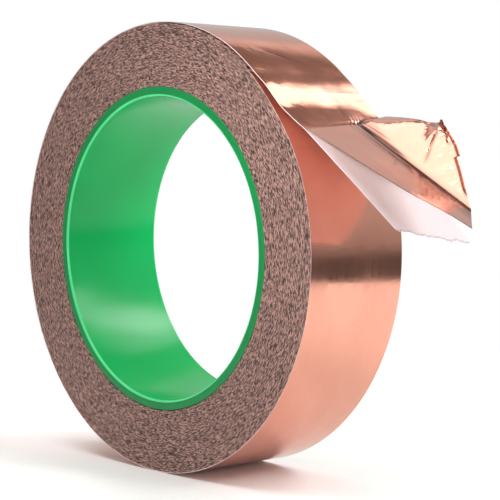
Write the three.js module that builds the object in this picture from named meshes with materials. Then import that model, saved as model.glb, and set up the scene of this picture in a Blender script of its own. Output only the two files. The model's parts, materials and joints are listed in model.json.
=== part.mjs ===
// A roll of adhesive copper foil tape on a plastic core, with its free end lifted and partly peeled.
//
// Frame: millimetres, +Z up. The roll's axis is Y, and the origin is the centre of the core's bore.
// The free end leaves the roll on the +X side. The tape is one long strip of three layers:
// copper foil on the outside, a coat of adhesive, and a paper release liner on the inside.

import * as THREE from 'three';

// ---------------------------------------------------------------- driving dimensions (mm, degrees)

const TAPE_WIDTH = 30;             // along the roll's axis
const FOIL = 0.035;                // copper foil, about 1.4 thousandths of an inch
const ADHESIVE = 0.030;            // pressure-sensitive coat on the foil's back
const LINER = 0.100;               // paper release liner

const BORE_DIAMETER = 77;          // nominal three inch core
const CORE_WALL = 2.4;
const CORE_RIM_CHAMFER = 0.5;      // on both inner rims
const ROLL_DIAMETER = 114;         // over the outermost turn, at the take-off line

const TAB_THICKNESS = 0.12;        // double-sided tab that starts the first turn
const TAB_WIDTH = 22;
const TAB_SPAN = 24;               // degrees of the core that the tab covers
const TAB_ANGLE = 198;             // degrees from +X towards +Z, to the middle of the tab

const TAKE_OFF_ANGLE = 50;         // degrees from +X towards +Z, where the tape leaves the roll
const LIFT = 2.5;                  // degrees that the lifted tape stands up from the tangent
const LIFTED_LENGTH = 20.2;        // take-off line to the peel line, along the middle of the tape
const PEEL_SKEW = 5.1;             // how much further out the peel line is at the front edge

const PEEL_ANGLE = 14.7;           // foil from liner at the peel line, degrees
const FOIL_FRONT_LENGTH = 54.5;    // peel line to the cut end, along the front edge
const FOIL_BACK_LENGTH = 22;       // and along the back edge
const FOIL_CORNER_LENGTH = 47;     // and where the cut crosses the fold
const FOLD_START = 21;             // the fold in the peeled foil, from the front edge, at the peel line
const FOLD_END = 9.5;              // and at the cut end
const FOLD_ANGLE = 42;             // degrees, once it is fully raised
const FOLD_RADIUS = 4;
const FOLD_LEAD = 10;              // the back edge starts to rise this far short of the fold's start
const FOLD_RISE = 12;              // and the fold is fully raised this far past it

const PEELED_LINER_LENGTH = 36.3;  // peel line to the torn end, along the front edge
const LINER_TWIST = 6;             // degrees that the back edge droops below the front edge
const TEAR_DEPTH = 0.5;            // how ragged the torn end is

// ---------------------------------------------------------------- clearances and facets

const LAYER_GAP = 0.01;            // between layers and between turns
const CORE_GAP = 0.02;             // between the core, the tab and the first turn
const BEND_GAP = 0.15;             // along the take-off line and the peel line
const FACETS = 120;                // round the roll
const FOIL_ROWS = 18;              // along the peeled foil
const FOIL_COLUMNS = 16;           // across it
const LINER_ROWS = 4;
const LINER_COLUMNS = 24;

// ---------------------------------------------------------------- sizes that follow from them

const radians = THREE.MathUtils.degToRad;
const HALF_WIDTH = TAPE_WIDTH / 2;
const TAPE = FOIL + ADHESIVE + LINER;          // build-up of one turn
const ROLL_RADIUS = ROLL_DIAMETER / 2;
const BORE_RADIUS = BORE_DIAMETER / 2;
const CORE_RADIUS = BORE_RADIUS + CORE_WALL;
const TAB_RADIUS = CORE_RADIUS + CORE_GAP;
const FACET = 2 * Math.PI / FACETS;
const TAKE_OFF = radians(TAKE_OFF_ANGLE);

// The facets that the starter tab covers, counted from the take-off line.
const FIRST_TAB_FACET = Math.round((radians(TAB_ANGLE - TAB_SPAN / 2) - TAKE_OFF) / FACET);
const LAST_TAB_FACET = FIRST_TAB_FACET + Math.round(radians(TAB_SPAN) / FACET);

// Depth of each layer's outer and inner faces below the outside of the tape.
const FOIL_LAYER = [0, FOIL - LAYER_GAP / 2];
const ADHESIVE_LAYER = [FOIL + LAYER_GAP / 2, FOIL + ADHESIVE - LAYER_GAP / 2];
const LINER_LAYER = [FOIL + ADHESIVE + LAYER_GAP / 2, TAPE - LAYER_GAP / 2];

// ---------------------------------------------------------------- materials

const finishes = {
  copper: { color: 0xc98a70, roughness: 0.22, metalness: 1.0 },
  adhesive: { color: 0xd9c7a6, roughness: 0.5, metalness: 0.0 },
  liner: { color: 0xe9dcdf, roughness: 0.75, metalness: 0.0 },
  woundEdge: { color: 0x8f7570, roughness: 0.6, metalness: 0.3 },
  core: { color: 0x1f9a50, roughness: 0.35, metalness: 0.0 },
  tab: { color: 0xe6e2d2, roughness: 0.6, metalness: 0.0 },
};

function piece(name, geometry, finish) {
  const mesh = new THREE.Mesh(geometry, new THREE.MeshStandardMaterial(finishes[finish]));
  mesh.name = name;
  return mesh;
}

// ---------------------------------------------------------------- wound shapes

// A point at an angle from +X towards +Z, in the plane of the roll's side.
function polar(radius, angle) {
  return new THREE.Vector2(radius * Math.cos(angle), radius * Math.sin(angle));
}

// Facet corners from one angle to another, counted in whole facets from the take-off line.
function arc(firstFacet, lastFacet, radiusAt) {
  const points = [];
  for (let i = firstFacet; i <= lastFacet; i += 1) {
    points.push(polar(radiusAt(i), TAKE_OFF + i * FACET));
  }
  return points;
}

// An outline in the plane of the roll's side becomes a solid of the given width along Y.
function acrossRoll(shape, width) {
  const geometry = new THREE.ExtrudeGeometry(shape, { depth: width, bevelEnabled: false });
  geometry.rotateX(Math.PI / 2);
  geometry.translate(0, width / 2, 0);
  return geometry;
}

// Radius of the tape's outer face on the last turn, which sinks by one thickness per turn.
function lastTurnRadius(facet) {
  return ROLL_RADIUS - TAPE * facet / FACETS;
}

// One layer of the last full turn, from the take-off line round to the same line again.
function lastTurnLayer([outerDepth, innerDepth]) {
  const outer = arc(0, FACETS, (i) => lastTurnRadius(i) - outerDepth);
  const inner = arc(0, FACETS, (i) => lastTurnRadius(i) - innerDepth);
  const endCut = BEND_GAP / 2 / ROLL_RADIUS;
  for (const points of [outer, inner]) {
    points[0] = polar(points[0].length(), TAKE_OFF + endCut);
    points[FACETS] = polar(points[FACETS].length(), TAKE_OFF - endCut);
  }
  return acrossRoll(new THREE.Shape([...outer, ...inner.reverse()]), TAPE_WIDTH);
}

// Every turn below the last one. Its outside is a spiral with one step, under the take-off line,
// and its inside is relieved where the first turn passes over the starter tab.
function woundTurns() {
  const clear = TAPE + LAYER_GAP / 2;
  const outer = arc(0, FACETS, (i) => lastTurnRadius(i) - clear);
  const inner = arc(0, FACETS - 1, (i) => {
    const overTab = i >= FIRST_TAB_FACET - 1 && i <= LAST_TAB_FACET + 1;
    return TAB_RADIUS + (overTab ? TAB_THICKNESS + CORE_GAP : 0);
  });
  const shape = new THREE.Shape(outer);
  shape.holes.push(new THREE.Path(inner.reverse()));
  return acrossRoll(shape, TAPE_WIDTH);
}

// ---------------------------------------------------------------- core and starter tab

function core() {
  const rim = HALF_WIDTH;
  const profile = [
    [CORE_RADIUS, -rim],
    [CORE_RADIUS, rim],
    [BORE_RADIUS + CORE_RIM_CHAMFER, rim],
    [BORE_RADIUS, rim - CORE_RIM_CHAMFER],
    [BORE_RADIUS, -rim + CORE_RIM_CHAMFER],
    [BORE_RADIUS + CORE_RIM_CHAMFER, -rim],
    [CORE_RADIUS, -rim],
  ].map(([radius, y]) => new THREE.Vector2(radius, y));
  return new THREE.LatheGeometry(profile, FACETS, Math.PI / 2 - TAKE_OFF);
}

function starterTab() {
  const outer = arc(FIRST_TAB_FACET, LAST_TAB_FACET, () => TAB_RADIUS + TAB_THICKNESS);
  const inner = arc(FIRST_TAB_FACET, LAST_TAB_FACET, () => TAB_RADIUS);
  return acrossRoll(new THREE.Shape([...outer, ...inner.reverse()]), TAB_WIDTH);
}

// ---------------------------------------------------------------- lifted and peeled tape

// Along the tape x runs outwards, y is the roll's axis, and z points out of the copper side.
// The peel line crosses the tape on a slant; this is its x at a given y.
function peelLine(y) {
  return LIFTED_LENGTH - PEEL_SKEW * y / TAPE_WIDTH;
}

// A thin closed sheet. place(u, v, depth) gives the point a share u along and v across it,
// that far below its copper side.
function sheet(rows, columns, [outerDepth, innerDepth], place) {
  const corners = [];
  const index = [];
  const side = (rows + 1) * (columns + 1);
  for (const depth of [outerDepth, innerDepth]) {
    for (let i = 0; i <= rows; i += 1) {
      for (let j = 0; j <= columns; j += 1) {
        corners.push(...place(i / rows, j / columns, depth).toArray());
      }
    }
  }
  const at = (i, j) => i * (columns + 1) + j;
  const quad = (a, b, c, d) => index.push(a, b, c, a, c, d);
  for (let i = 0; i < rows; i += 1) {
    for (let j = 0; j < columns; j += 1) {
      const [a, b, c, d] = [at(i, j), at(i + 1, j), at(i + 1, j + 1), at(i, j + 1)];
      quad(a, b, c, d);
      quad(side + a, side + d, side + c, side + b);
    }
  }
  const edge = (a, b) => quad(a, b, side + b, side + a);
  for (let i = 0; i < rows; i += 1) {
    edge(at(i + 1, 0), at(i, 0));
    edge(at(i, columns), at(i + 1, columns));
  }
  for (let j = 0; j < columns; j += 1) {
    edge(at(0, j), at(0, j + 1));
    edge(at(rows, j + 1), at(rows, j));
  }
  const geometry = new THREE.BufferGeometry();
  geometry.setAttribute('position', new THREE.Float32BufferAttribute(corners, 3));
  geometry.setIndex(index);
  return geometry;
}

// Moves a flat point down through the tape, square to a surface that gives a point for each (x, y).
function offsetFrom(surface, x, y, depth) {
  const step = 0.01;
  const here = surface(x, y);
  const alongX = surface(x + step, y).sub(here);
  const alongY = surface(x, y + step).sub(here);
  return here.addScaledVector(alongX.cross(alongY).normalize(), -depth);
}

function liftedLayer(depths) {
  return sheet(1, 1, depths, (u, v, depth) => {
    const y = (v - 0.5) * TAPE_WIDTH;
    const start = BEND_GAP / 2;
    const end = peelLine(y) - BEND_GAP / 2;
    return new THREE.Vector3(start + (end - start) * u, y, -depth);
  });
}

// The peeled foil: flat at the front edge, and raised at the back along a slanting fold.
const FOLD_FROM = new THREE.Vector2(peelLine(FOLD_START - HALF_WIDTH), FOLD_START - HALF_WIDTH);
const FOLD_TO = new THREE.Vector2(peelLine(-HALF_WIDTH) + FOIL_CORNER_LENGTH, FOLD_END - HALF_WIDTH);
const FOLD_ALONG = FOLD_TO.clone().sub(FOLD_FROM).normalize();
const FOLD_ACROSS = new THREE.Vector2(-FOLD_ALONG.y, FOLD_ALONG.x);

function foldedFoil(x, y) {
  const flat = new THREE.Vector2(x, y).sub(FOLD_FROM);
  const along = flat.dot(FOLD_ALONG);
  const across = flat.dot(FOLD_ACROSS);
  const angle = radians(FOLD_ANGLE) * THREE.MathUtils.smoothstep(along, -FOLD_LEAD, FOLD_RISE);
  const bend = FOLD_RADIUS * angle;
  const turned = THREE.MathUtils.clamp(across + bend / 2, 0, bend) / FOLD_RADIUS;
  const beyond = Math.max(across - bend / 2, 0);
  const before = Math.min(across, -bend / 2);
  const reach = before + FOLD_RADIUS * Math.sin(turned) + beyond * Math.cos(angle);
  const rise = FOLD_RADIUS * (1 - Math.cos(turned)) + beyond * Math.sin(angle);
  const point = FOLD_FROM.clone().addScaledVector(FOLD_ALONG, along).addScaledVector(FOLD_ACROSS, reach);
  return new THREE.Vector3(point.x, point.y, rise);
}

// Where the peeled foil is cut off, as a length beyond the peel line at a given y.
function foilLength(y) {
  const fromFront = y + HALF_WIDTH;
  if (fromFront < FOLD_END) {
    return FOIL_FRONT_LENGTH + (FOIL_CORNER_LENGTH - FOIL_FRONT_LENGTH) * fromFront / FOLD_END;
  }
  const share = (fromFront - FOLD_END) / (TAPE_WIDTH - FOLD_END);
  return FOIL_CORNER_LENGTH + (FOIL_BACK_LENGTH - FOIL_CORNER_LENGTH) * share;
}

function peeledFoilLayer(depths) {
  return sheet(FOIL_ROWS, FOIL_COLUMNS, depths, (u, v, depth) => {
    const y = (v - 0.5) * TAPE_WIDTH;
    const start = peelLine(y) + BEND_GAP / 2;
    const x = start + (foilLength(y) - BEND_GAP / 2) * u;
    return offsetFrom(foldedFoil, x, y, depth);
  });
}

// The peeled liner: it runs straight on, its back edge drooping, to a ragged tear.
function tearLine(y) {
  const ragged = Math.sin(y * 1.1) + 0.6 * Math.sin(y * 2.7 + 1);
  return PEELED_LINER_LENGTH + TEAR_DEPTH * ragged;
}

function droopingLiner(x, y) {
  const fromPeel = x - peelLine(y);
  const twist = Math.tan(radians(LINER_TWIST)) * (y + HALF_WIDTH) / TAPE_WIDTH;
  return new THREE.Vector3(x, y, -fromPeel * twist);
}

function peeledLiner() {
  return sheet(LINER_ROWS, LINER_COLUMNS, LINER_LAYER, (u, v, depth) => {
    const y = (v - 0.5) * TAPE_WIDTH;
    const start = peelLine(y) + BEND_GAP / 2;
    const end = peelLine(-HALF_WIDTH) + tearLine(y);
    return offsetFrom(droopingLiner, start + (end - start) * u, y, depth);
  });
}

// ---------------------------------------------------------------- assembly

const roll = new THREE.Group();
roll.add(
  piece('core', core(), 'core'),
  piece('starter_tab', starterTab(), 'tab'),
  piece('wound_turns', woundTurns(), 'woundEdge'),
  piece('last_turn_liner', lastTurnLayer(LINER_LAYER), 'liner'),
  piece('last_turn_adhesive', lastTurnLayer(ADHESIVE_LAYER), 'adhesive'),
  piece('last_turn_foil', lastTurnLayer(FOIL_LAYER), 'copper'),
);

// The lifted tape hinges where it leaves the roll, at its copper side.
const liftedTape = new THREE.Group();
const takeOffPoint = polar(ROLL_RADIUS, TAKE_OFF);
liftedTape.position.set(takeOffPoint.x, 0, takeOffPoint.y);
liftedTape.rotation.y = Math.PI / 2 - TAKE_OFF - radians(LIFT);
liftedTape.add(
  piece('lifted_foil', liftedLayer(FOIL_LAYER), 'copper'),
  piece('lifted_adhesive', liftedLayer(ADHESIVE_LAYER), 'adhesive'),
  piece('lifted_liner', liftedLayer(LINER_LAYER), 'liner'),
  piece('peeled_liner', peeledLiner(), 'liner'),
);
roll.add(liftedTape);

// The peeled foil and its adhesive turn up about the peel line.
const peelAxis = new THREE.Vector3(-PEEL_SKEW, TAPE_WIDTH, 0).normalize();
const peelPoint = new THREE.Vector3(LIFTED_LENGTH, 0, 0);
const peeledTape = new THREE.Group();
peeledTape.quaternion.setFromAxisAngle(peelAxis, -radians(PEEL_ANGLE));
peeledTape.position.copy(peelPoint).sub(peelPoint.clone().applyQuaternion(peeledTape.quaternion));
peeledTape.add(
  piece('peeled_foil', peeledFoilLayer(FOIL_LAYER), 'copper'),
  piece('peeled_adhesive', peeledFoilLayer(ADHESIVE_LAYER), 'adhesive'),
);
liftedTape.add(peeledTape);

export default roll;
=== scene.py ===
# %% [markdown]
# # A roll of copper foil tape
#
# Glass workers wrap the edge of each piece of stained glass in thin adhesive copper foil, and solder the
# pieces together along it. The foil comes as one long strip of three layers, wound on a plastic core:
# copper on the outside, a coat of adhesive under it, and a paper release liner that keeps the turns apart.
# This lesson dresses a finished CAD model of such a roll. The CAD model fixes every size and every joint,
# so the first step is to load it and to keep its box, which the finished roll has to stay inside.

# %% Load the frame
import json
import math

import bpy
import numpy as np
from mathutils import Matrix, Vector, noise


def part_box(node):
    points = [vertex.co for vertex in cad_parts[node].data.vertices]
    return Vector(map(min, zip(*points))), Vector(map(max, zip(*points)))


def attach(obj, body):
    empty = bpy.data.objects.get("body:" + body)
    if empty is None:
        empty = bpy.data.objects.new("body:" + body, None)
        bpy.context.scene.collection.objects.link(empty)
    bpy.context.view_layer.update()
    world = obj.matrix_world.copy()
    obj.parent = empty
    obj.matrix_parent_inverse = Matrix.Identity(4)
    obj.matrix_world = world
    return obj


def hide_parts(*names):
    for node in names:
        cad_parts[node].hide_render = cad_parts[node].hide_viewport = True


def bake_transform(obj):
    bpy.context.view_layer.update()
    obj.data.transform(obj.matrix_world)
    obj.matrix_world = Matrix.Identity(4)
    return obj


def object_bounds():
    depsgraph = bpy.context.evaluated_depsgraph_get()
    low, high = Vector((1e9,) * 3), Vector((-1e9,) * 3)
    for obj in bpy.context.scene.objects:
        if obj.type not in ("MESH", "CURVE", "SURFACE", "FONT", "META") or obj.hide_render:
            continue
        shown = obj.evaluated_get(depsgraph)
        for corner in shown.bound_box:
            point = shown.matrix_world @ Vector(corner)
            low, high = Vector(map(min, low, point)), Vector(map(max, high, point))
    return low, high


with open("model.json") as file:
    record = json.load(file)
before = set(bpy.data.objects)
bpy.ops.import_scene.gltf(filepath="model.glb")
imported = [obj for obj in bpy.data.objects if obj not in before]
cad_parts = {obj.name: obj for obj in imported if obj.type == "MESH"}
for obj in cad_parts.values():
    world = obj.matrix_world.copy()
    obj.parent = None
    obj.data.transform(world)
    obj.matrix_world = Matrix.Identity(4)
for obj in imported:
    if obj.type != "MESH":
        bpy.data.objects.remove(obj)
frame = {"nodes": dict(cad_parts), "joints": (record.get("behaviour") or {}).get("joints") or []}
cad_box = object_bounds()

# %% [markdown]
# ## Measures
#
# Nothing is placed by eye. The hinge where the tape leaves the roll gives the roll's radius and the angle of
# the take-off line. The hinge where the foil peels off its liner gives the direction of the lifted tape and
# the slant of the peel line. Everything is kept in millimetres here, because foil tape is bought in
# millimetres, and turned into metres only when a mesh is made.

# %% Read the sizes from the frame
MM = 0.001
TURN = 2 * math.pi
joints = {joint["name"]: joint for joint in frame["joints"]}
take_off_point = np.array(joints["tape_lift"]["pos_m"]) / MM
peel_point = np.array(joints["foil_peel"]["pos_m"]) / MM
peel_axis = np.array(joints["foil_peel"]["axis"])

ROLL_RADIUS = math.hypot(take_off_point[0], take_off_point[2])
TAKE_OFF = math.atan2(take_off_point[2], take_off_point[0])
LIFTED_LENGTH = float(np.linalg.norm(peel_point - take_off_point))
ACROSS = np.array([0.0, 1.0, 0.0])
ALONG = (peel_point - take_off_point) / LIFTED_LENGTH
OUTWARD = np.cross(ALONG, ACROSS)
PEEL_SLANT = float(peel_axis @ ALONG / (peel_axis @ ACROSS))

HALF_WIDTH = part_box("wound_turns")[1].y / MM
FLOOR_HEIGHT = cad_box[0].z
core_radii = [math.hypot(v.co.x, v.co.z) / MM for v in frame["nodes"]["core"].data.vertices]
BORE_RADIUS = min(core_radii)
CORE_RADIUS = max(core_radii)
print(f"roll {2 * ROLL_RADIUS:.1f} mm over a {2 * BORE_RADIUS:.1f} mm bore")
print(f"tape {2 * HALF_WIDTH:.0f} mm wide, lifted for {LIFTED_LENGTH:.1f} mm")

# %% [markdown]
# ## The camera
#
# The camera stands a little above the middle of the roll and well round to its right, so that it sees the
# side of the winding, the inside of the core and the bright outer turn at once. A long lens keeps the two
# rims of the core nearly the same size, as in a catalogue picture.

# %% Place the camera
CAMERA_AZIMUTH = math.radians(50.06)
CAMERA_ELEVATION = math.radians(3.21)
CAMERA_DISTANCE = 427.3
LENS = 118.6
SENSOR_WIDTH = 36
AIM_RIGHT = 12.6
AIM_DOWN = 0.94

toward_camera = Vector((
    math.sin(CAMERA_AZIMUTH) * math.cos(CAMERA_ELEVATION),
    -math.cos(CAMERA_AZIMUTH) * math.cos(CAMERA_ELEVATION),
    math.sin(CAMERA_ELEVATION),
))
camera_right = Vector((math.cos(CAMERA_AZIMUTH), math.sin(CAMERA_AZIMUTH), 0))
camera_up = toward_camera.cross(camera_right)
aim = (camera_right * AIM_RIGHT - camera_up * AIM_DOWN) * MM
camera = bpy.data.objects.new("camera", bpy.data.cameras.new("camera"))
camera.data.lens = LENS
camera.data.sensor_width = SENSOR_WIDTH
camera.location = toward_camera * CAMERA_DISTANCE * MM
camera.rotation_mode = "QUATERNION"
camera.rotation_quaternion = (aim - camera.location).to_track_quat("-Z", "Y")
bpy.context.scene.collection.objects.link(camera)
bpy.context.scene.camera = camera
print("camera at", [round(c, 4) for c in camera.location])

# %% [markdown]
# ## How the tape runs
#
# One function describes the copper side of the whole visible tape. A place on the tape has two flat
# coordinates, as if the strip were unrolled on a bench: x along it, counted from the take-off line and
# growing towards the free end, and y across it. Where x is negative the tape lies on the roll, in a spiral
# that sinks by one thickness for each turn. Where x is positive it stands off the roll. The two runs are
# mixed over a few millimetres, so that the foil bends there and has no crease.
#
# A hand-held roll is never perfect. The near edge of the last turn has worked a little loose, the lifted
# part sags in one soft step, and the winding has a shallow flat just under the take-off line.

# %% Shape of the tape on the roll and of the lifted part
FOIL = 0.035
ADHESIVE = 0.030
LINER = 0.100
TAPE = FOIL + ADHESIVE + LINER
GAP = 0.01
LOOSE_EDGE = 0.42
LOOSE_FROM = -55.0
LOOSE_TO = -6.0
NEAR_SAG, NEAR_SAG_FROM, NEAR_SAG_TO = 0.9, 4.0, 14.0
FAR_SAG, FAR_SAG_FROM, FAR_SAG_TO = 0.55, 2.0, 10.0
NEAR_RISE = 0.06
FAR_FALL = 0.08
BEND_REACH = 4.0
FLAT_DEPTH = 0.9
FLAT_ANGLE = math.radians(43)
FLAT_SPREAD = math.radians(15)


def smooth(value, low, high):
    """0 below low, 1 above high, and an even curve between them."""
    share = np.clip((value - low) / (high - low), 0, 1)
    return share * share * (3 - 2 * share)


def share_across(y):
    """0 at the near edge of the tape, 1 at the far edge."""
    return (y + HALF_WIDTH) / (2 * HALF_WIDTH)


def flat_spot(angle, radius):
    """How far the winding sinks at its flat, which fades out towards the core."""
    turned = (angle - FLAT_ANGLE + math.pi) % TURN - math.pi
    depth = (radius - CORE_RADIUS) / (ROLL_RADIUS - CORE_RADIUS)
    return FLAT_DEPTH * np.exp(-((turned / FLAT_SPREAD) ** 2)) * np.clip(depth, 0, 1) ** 2


def around_roll(x, y):
    """A point of the copper side on the last turn."""
    turns_in = -x / (TURN * ROLL_RADIUS)
    angle = TAKE_OFF + TURN * turns_in
    radius = ROLL_RADIUS - TAPE * turns_in
    radius = radius - np.where(turns_in > 0.5, flat_spot(angle, radius), 0)
    radius = radius + LOOSE_EDGE * smooth(x, LOOSE_FROM, LOOSE_TO) * (1 - share_across(y))
    return np.stack([radius * np.cos(angle), y, radius * np.sin(angle)], axis=-1)


def peel_line(y):
    """How far out the foil leaves its liner."""
    return LIFTED_LENGTH + PEEL_SLANT * y


def stand_off(x, y):
    """How far the lifted tape is off its plane. Past the peel line it stays what it was there."""
    held = np.minimum(x, peel_line(y))
    near = LOOSE_EDGE * (1 - 0.3 * smooth(held, LOOSE_TO, 2))
    near = near - NEAR_SAG * smooth(held, NEAR_SAG_FROM, NEAR_SAG_TO)
    near = near + NEAR_RISE * np.maximum(held - NEAR_SAG_TO, 0)
    far = -FAR_SAG * smooth(held, FAR_SAG_FROM, FAR_SAG_TO) - FAR_FALL * np.maximum(held - 8, 0)
    return near + (far - near) * share_across(y)


def in_frame(x, y, z):
    """From the lifted tape's own axes to the frame."""
    return take_off_point + x[..., None] * ALONG + y[..., None] * ACROSS + z[..., None] * OUTWARD


def tape_surface(x, y):
    """The copper side from the last turn to the peel line."""
    lifted = smooth(x, -BEND_REACH, BEND_REACH)[..., None]
    return around_roll(x, y) * (1 - lifted) + in_frame(x, y, stand_off(x, y)) * lifted


print(f"take-off at {math.degrees(TAKE_OFF):.1f} degrees, peel line {LIFTED_LENGTH:.1f} mm further out")

# %% [markdown]
# ## The peeled foil and the peeled liner
#
# Past the peel line the two layers part. The foil turns up by some fifteen degrees. Its far half is folded
# up along a slanting line, because somebody pulled at one corner, and its end is cut on the skew, with one
# small step in it. The liner goes straight on, and its far edge droops. Both start from the same plane, so
# the foil's turning up fades in over three millimetres at the peel line.
#
# A fold in metal has a radius. The foil is bent round a cylinder a few millimetres across, so its length
# along and across the fold stays what it was on the bench, and it is never stretched.

# %% Shape of the peeled layers
PEEL_ANGLE = math.radians(14.7)
PEEL_REACH = 1.5
FRONT_LENGTH = 54.5
BACK_LENGTH = 22.0
CORNER_LENGTH = 47.0
FOLD_START = 21.0
FOLD_END = 9.5
FOLD_ANGLE = math.radians(42)
FOLD_RADIUS = 4.4
FOLD_LEAD = 10.0
FOLD_RISE = 12.0
END_BULGE = 2.4
FAR_SINK = 1.5
NEAR_DROOP = 0.3
NEAR_CURL = 0.6
LINER_LENGTH = 36.3
LINER_TWIST = math.radians(7.5)

fold_from = np.array([peel_line(FOLD_START - HALF_WIDTH), FOLD_START - HALF_WIDTH])
fold_to = np.array([peel_line(-HALF_WIDTH) + CORNER_LENGTH, FOLD_END - HALF_WIDTH])
fold_along = (fold_to - fold_from) / np.linalg.norm(fold_to - fold_from)
fold_across = np.array([-fold_along[1], fold_along[0]])


def foil_length(y):
    """From the peel line to the cut end, for a place across the tape."""
    from_front = y + HALF_WIDTH
    near = FRONT_LENGTH + (CORNER_LENGTH - FRONT_LENGTH) * from_front / FOLD_END
    share = (from_front - FOLD_END) / (2 * HALF_WIDTH - FOLD_END)
    bulge = END_BULGE * (0.42 * smooth(share, 0, 0.5) + 0.58 * smooth(share, 0.57, 0.61))
    bulge = bulge * (1 - smooth(share, 0.7, 1))
    far = CORNER_LENGTH + (BACK_LENGTH - CORNER_LENGTH) * share + bulge
    return np.where(from_front < FOLD_END, near, far)


def fold_place(x, y):
    """A flat place measured along the fold line and across it."""
    flat = np.stack([x, y], axis=-1) - fold_from
    return flat @ fold_along, flat @ fold_across


def folded(x, y):
    """The foil bent along its fold, before it is turned up at the peel line.

    The far edge sinks between its two ends. The near edge droops, and curls up at the cut."""
    along, across = fold_place(x, y)
    angle = FOLD_ANGLE * smooth(along, -FOLD_LEAD, FOLD_RISE)
    bend = FOLD_RADIUS * angle
    turned = np.clip(across + bend / 2, 0, bend) / FOLD_RADIUS
    beyond = np.maximum(across - bend / 2, 0)
    reach = np.minimum(across, -bend / 2) + FOLD_RADIUS * np.sin(turned) + beyond * np.cos(angle)
    rise = FOLD_RADIUS * (1 - np.cos(turned)) + beyond * np.sin(angle)
    to_edge = np.clip(across / (HALF_WIDTH - fold_from[1]), 0, 1.4) ** 2
    sunk = FAR_SINK * to_edge * np.sin(math.pi * np.clip((x - peel_line(y)) / BACK_LENGTH, 0, 1) ** 1.5)
    curl = NEAR_CURL * smooth(along, 40, 56) - NEAR_DROOP * smooth(along, 14, 42)
    curl = curl * np.clip(-across / FOLD_END, 0, 1) ** 2
    reach = reach + sunk * np.sin(angle)
    place = fold_from + along[..., None] * fold_along + reach[..., None] * fold_across
    return np.concatenate([place, (rise + curl - sunk * np.cos(angle))[..., None]], axis=-1)


def turned_up(points):
    """Points of the lifted tape's own axes turned up about the peel line."""
    axis = np.array([PEEL_SLANT, 1, 0]) / math.hypot(PEEL_SLANT, 1)
    arm = points - np.array([LIFTED_LENGTH, 0, 0])
    cos, sin = math.cos(PEEL_ANGLE), -math.sin(PEEL_ANGLE)
    spun = arm * cos + np.cross(axis, arm) * sin + axis * (arm @ axis)[..., None] * (1 - cos)
    return spun + np.array([LIFTED_LENGTH, 0, 0])


def peeled_surface(x, y):
    """The copper side of the lifted tape and the peeled foil."""
    up = turned_up(folded(x, y))
    raised = in_frame(up[..., 0], up[..., 1], up[..., 2] + stand_off(x, y))
    peeled = smooth(x - peel_line(y), -PEEL_REACH, PEEL_REACH)[..., None]
    return tape_surface(x, y) * (1 - peeled) + raised * peeled


def liner_surface(x, y):
    """The copper side's level over the liner, which runs straight on and droops at the far edge."""
    droop = math.tan(LINER_TWIST) * np.maximum(x - peel_line(y), 0) * share_across(y)
    return tape_surface(x, y) - droop[..., None] * OUTWARD


print(f"foil peeled {FRONT_LENGTH:.1f} mm along the near edge, {BACK_LENGTH:.1f} mm along the far edge")

# %% [markdown]
# ## Making a thin sheet
#
# Foil and paper are far thinner than they are wide, so a single layer of faces would do for a picture. But a
# real layer has two sides and a cut edge that catches the light, and a closed body can be measured, so every
# layer here is a closed sheet: a grid for each side, the same points pushed down along the surface, and a
# rim of faces that joins them. Each corner also keeps its flat place on the tape as a UV coordinate. The
# finishes use it, so that scratches run along the tape wherever it bends. A second value on each point says
# how much painted shade it gets. Shade lies in creases, so the code that shapes a crease knows where to
# paint it.

# %% Sheet maker
UV_SPAN = 100.0
SHARP_ANGLE = math.radians(35)


def add_mesh(name, points, faces, flat_places, materials, face_materials=None):
    """A smooth-shaded object from millimetre points, with the flat places in its UV map."""
    mesh = bpy.data.meshes.new(name)
    mesh.from_pydata([tuple(p) for p in np.asarray(points) * MM], [], faces)
    corners = np.zeros(len(mesh.loops), dtype=np.int32)
    mesh.loops.foreach_get("vertex_index", corners)
    flat = np.asarray(flat_places)[corners] / UV_SPAN
    mesh.uv_layers.new(name="flat").data.foreach_set("uv", flat.astype(np.float32).ravel())
    for material in materials:
        mesh.materials.append(material)
    if face_materials is not None:
        mesh.polygons.foreach_set("material_index", np.asarray(face_materials, dtype=np.int32))
    mesh.shade_smooth()
    mesh.set_sharp_from_angle(angle=SHARP_ANGLE)
    piece = bpy.data.objects.new(name, mesh)
    bpy.context.scene.collection.objects.link(piece)
    print(f"{name}: {len(mesh.vertices)} points, {len(mesh.polygons)} faces")
    return piece


def normals_of(grid):
    """Unit normals of a grid of points, from its neighbours along and across."""
    normal = np.cross(np.gradient(grid, axis=0), np.gradient(grid, axis=1))
    return normal / np.linalg.norm(normal, axis=-1, keepdims=True)


def sheet_faces(rows, columns):
    """Faces of a closed sheet: the copper side, the other side, and the rim."""
    side = rows * columns
    index = np.arange(side).reshape(rows, columns)
    a, b, c, d = index[:-1, :-1], index[1:, :-1], index[1:, 1:], index[:-1, 1:]
    top = np.stack([a, b, c, d], axis=-1).reshape(-1, 4)
    loop = np.concatenate([index[0, :-1], index[:-1, -1], index[-1, :0:-1], index[:0:-1, 0]])
    after = np.roll(loop, -1)
    rim = np.stack([loop, after, after + side, loop + side], axis=-1)
    return np.concatenate([top, top[:, ::-1] + side, rim]).tolist()


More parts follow.
